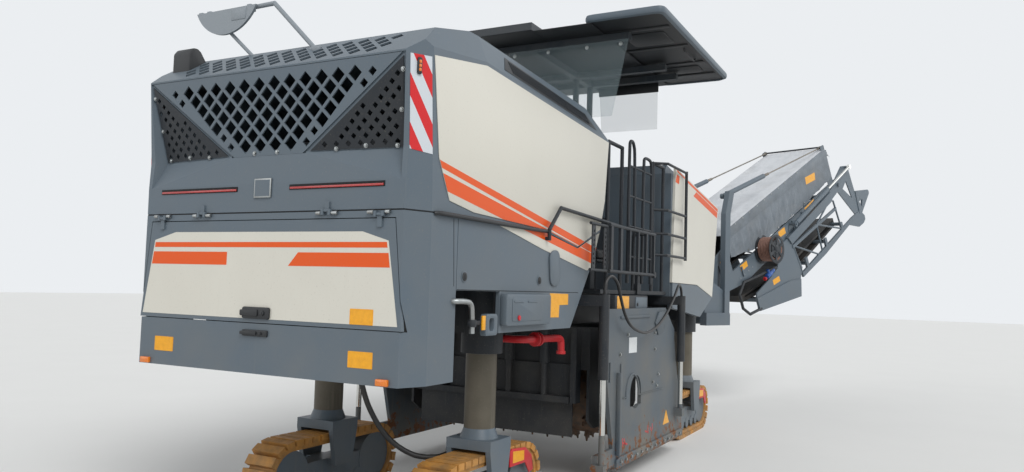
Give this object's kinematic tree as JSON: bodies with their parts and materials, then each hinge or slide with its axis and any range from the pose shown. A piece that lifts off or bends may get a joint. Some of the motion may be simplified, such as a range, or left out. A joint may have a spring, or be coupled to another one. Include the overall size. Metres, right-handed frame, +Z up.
{
  "type": "cold planer",
  "caption": "Tracked road milling machine with a milling drum, side plates, a raised canopy and a folded, slewing loading conveyor.",
  "frame": {"origin": "on the ground, straight under the axis of the milling drum, on the machine's centre plane", "axes": "+X forward along the machine, +Y to its left, +Z up"},
  "size_m": [14.6569, 4.3082, 4.8816],
  "materials": {
    "body_paint": "satin",
    "dark_paint": "satin",
    "cream_paint": "gloss",
    "red_paint": "gloss",
    "bare_steel": "worn",
    "rod_chrome": "polished",
    "drum_steel": "rusty",
    "pad_polymer": "worn",
    "black_rubber": "matte",
    "belt_rubber": "matte",
    "cover_fabric": "matte",
    "seat_vinyl": "matte",
    "window_glass": "clear",
    "mirror_grey": "satin",
    "amber_lens": "gloss",
    "hose_rubber": "matte",
    "engine_iron": "matte"
  },
  "bodies": {
    "chassis": {"main_frame": "dark_paint", "engine": "engine_iron", "rear_shell": "body_paint", "side_shells": "body_paint", "tool_boxes": "body_paint", "drum_housing": "dark_paint", "red_pipe": "red_paint", "platform": "dark_paint", "seats": "seat_vinyl", "tank_body": "body_paint", "tank_panels": "cream_paint", "platform_rails": "dark_paint", "primary_conveyor": "dark_paint", "tie_down_eyes": "red_paint", "plate_barrels": "body_paint", "marker_lamps": "amber_lens"},
    "hood": {"hood_shell": "body_paint", "hood_panels": "cream_paint", "coarse_lattice": "body_paint", "fine_grilles": "dark_paint", "exhaust": "black_rubber", "mirror_frame": "mirror_grey", "mirror_plate": "mirror_grey"},
    "rear_flap": {"rear_flap": "cream_paint", "flap_handle": "dark_paint"},
    "milling_drum": {"milling_drum": "drum_steel"},
    "side_plate_right": {"side_plate_right": "body_paint"},
    "side_plate_left": {"side_plate_left": "body_paint"},
    "scraper": {"scraper": "dark_paint"},
    "leg_rear_right": {"leg_rear_right": "bare_steel", "track_rear_right": "pad_polymer"},
    "leg_rear_left": {"leg_rear_left": "bare_steel", "track_rear_left": "pad_polymer"},
    "leg_front_right": {"leg_front_right": "bare_steel", "track_front_right": "pad_polymer"},
    "leg_front_left": {"leg_front_left": "bare_steel", "track_front_left": "pad_polymer"},
    "ladder_right": {"ladder_right": "dark_paint"},
    "ladder_left": {"ladder_left": "dark_paint"},
    "roof": {"roof_lift": "body_paint", "rear_windows": "window_glass"},
    "roof_wing": {"roof_right": "body_paint", "roof_rods": "rod_chrome"},
    "slew_frame": {"slew_frame": "body_paint"},
    "conveyor": {"base_section": "body_paint", "base_belt": "belt_rubber", "base_cover": "cover_fabric", "hose_reel": "hose_rubber"},
    "conveyor_tip": {"front_section": "body_paint", "front_belt": "belt_rubber", "nose_guard": "dark_paint"},
    "strut_right": {"strut_barrel_right": "body_paint"},
    "strut_left": {"strut_barrel_left": "body_paint"},
    "stay_right": {"strut_rod_right": "bare_steel"},
    "stay_left": {"strut_rod_left": "bare_steel"},
    "fold_cylinder_right": {"fold_barrel_right": "body_paint"},
    "fold_cylinder_left": {"fold_barrel_left": "body_paint"},
    "fold_rod_right": {"fold_rod_right": "rod_chrome"},
    "fold_rod_left": {"fold_rod_left": "rod_chrome"}
  },
  "joints": [
    {"name": "hood_hinge", "type": "hinge", "parent": "chassis", "child": "hood", "pos_m": [-4.114, 0, 2.4], "axis": [0, -1, 0], "range_deg": [0, 40]},
    {"name": "flap_hinge", "type": "hinge", "parent": "chassis", "child": "rear_flap", "pos_m": [-4.114, 0, 2.37], "axis": [0, 1, 0], "range_deg": [0, 88]},
    {"name": "drum_spin", "type": "hinge", "parent": "chassis", "child": "milling_drum", "pos_m": [0, 0, 0.8], "axis": [0, 1, 0], "continuous": true},
    {"name": "side_plate_right_lift", "type": "slide", "parent": "chassis", "child": "side_plate_right", "axis": [0, 0, 1], "range_m": [-0.2, 0.25]},
    {"name": "side_plate_left_lift", "type": "slide", "parent": "chassis", "child": "side_plate_left", "axis": [0, 0, 1], "range_m": [-0.2, 0.25]},
    {"name": "scraper_lift", "type": "slide", "parent": "chassis", "child": "scraper", "axis": [0, 0, 1], "range_m": [-0.15, 0.15]},
    {"name": "rear_left_steer", "type": "hinge", "parent": "chassis", "child": "leg_rear_left", "pos_m": [-2.4, 0.79, 0.7], "axis": [0, 0, 1], "range_deg": [-15, 15]},
    {"name": "rear_right_steer", "type": "hinge", "parent": "chassis", "child": "leg_rear_right", "pos_m": [-2.4, -0.79, 0.7], "axis": [0, 0, 1], "range_deg": [-15, 15]},
    {"name": "front_left_steer", "type": "hinge", "parent": "chassis", "child": "leg_front_left", "pos_m": [3, 0.95, 0.7], "axis": [0, 0, 1], "range_deg": [-15, 15]},
    {"name": "front_right_steer", "type": "hinge", "parent": "chassis", "child": "leg_front_right", "pos_m": [3, -0.95, 0.7], "axis": [0, 0, 1], "range_deg": [-15, 15]},
    {"name": "ladder_right_fold", "type": "hinge", "parent": "chassis", "child": "ladder_right", "pos_m": [0.33, -1.362, 2.12], "axis": [0, -1, 0], "range_deg": [0, 90]},
    {"name": "ladder_left_fold", "type": "hinge", "parent": "chassis", "child": "ladder_left", "pos_m": [0.33, 1.362, 2.12], "axis": [0, -1, 0], "range_deg": [0, 90]},
    {"name": "roof_lift", "type": "slide", "parent": "chassis", "child": "roof", "axis": [0, 0, 1], "range_m": [-0.7, 0]},
    {"name": "roof_wing_slide", "type": "slide", "parent": "roof", "child": "roof_wing", "axis": [0, 1, 0], "range_m": [0, 0.54]},
    {"name": "conveyor_slew", "type": "hinge", "parent": "chassis", "child": "slew_frame", "pos_m": [4.1, 0, 1.5], "axis": [0, 0, 1], "range_deg": [-40, 80]},
    {"name": "conveyor_pitch", "type": "hinge", "parent": "slew_frame", "child": "conveyor", "pos_m": [4.75779, -0.23941, 2.05], "axis": [-0.342, -0.9397, 0], "range_deg": [-6, 5]},
    {"name": "strut_right_swing", "type": "hinge", "parent": "slew_frame", "child": "strut_right", "pos_m": [5.11212, -0.99093, 3.55], "axis": [-0.342, -0.9397, 0], "range_deg": [-12, 12]},
    {"name": "stay_right_slide", "type": "slide", "parent": "strut_right", "child": "stay_right", "axis": [0.877, -0.3192, 0.359], "range_m": [-0.35, 0.35]},
    {"name": "strut_left_swing", "type": "hinge", "parent": "slew_frame", "child": "strut_left", "pos_m": [5.51229, 0.10851, 3.55], "axis": [-0.342, -0.9397, 0], "range_deg": [-12, 12]},
    {"name": "stay_left_slide", "type": "slide", "parent": "strut_left", "child": "stay_left", "axis": [0.877, -0.3192, 0.359], "range_m": [-0.35, 0.35]},
    {"name": "conveyor_fold", "type": "hinge", "parent": "conveyor", "child": "conveyor_tip", "pos_m": [9.00487, -1.78523, 4.16261], "axis": [-0.342, -0.9397, 0], "range_deg": [0, 178]},
    {"name": "fold_right_swing", "type": "hinge", "parent": "conveyor", "child": "fold_cylinder_right", "pos_m": [7.05359, -1.84655, 3.2467], "axis": [-0.342, -0.9397, 0], "range_deg": [-20, 20]},
    {"name": "fold_right_slide", "type": "slide", "parent": "fold_cylinder_right", "child": "fold_rod_right", "axis": [0.7992, -0.2909, 0.5259], "range_m": [-1, 0.1]},
    {"name": "fold_left_swing", "type": "hinge", "parent": "conveyor", "child": "fold_cylinder_left", "pos_m": [7.54952, -0.484, 3.2467], "axis": [-0.342, -0.9397, 0], "range_deg": [-20, 20]},
    {"name": "fold_left_slide", "type": "slide", "parent": "fold_cylinder_left", "child": "fold_rod_left", "axis": [0.7992, -0.2909, 0.5259], "range_m": [-1, 0.1]}
  ],
  "couplings": [
    {"joint": "rear_right_steer", "follows": "rear_left_steer", "ratio": 1},
    {"joint": "front_right_steer", "follows": "front_left_steer", "ratio": 1},
    {"joint": "strut_right_swing", "follows": "conveyor_pitch", "ratio": 1.3015},
    {"joint": "stay_right_slide", "follows": "conveyor_pitch", "m_per_rad": -1.1965},
    {"joint": "strut_left_swing", "follows": "conveyor_pitch", "ratio": 1.3015},
    {"joint": "stay_left_slide", "follows": "conveyor_pitch", "m_per_rad": -1.1965},
    {"joint": "fold_right_swing", "follows": "conveyor_fold", "ratio": -0.06771},
    {"joint": "fold_right_slide", "follows": "conveyor_fold", "m_per_rad": -0.28706},
    {"joint": "fold_left_swing", "follows": "conveyor_fold", "ratio": -0.06771},
    {"joint": "fold_left_slide", "follows": "conveyor_fold", "m_per_rad": -0.28706}
  ]
}
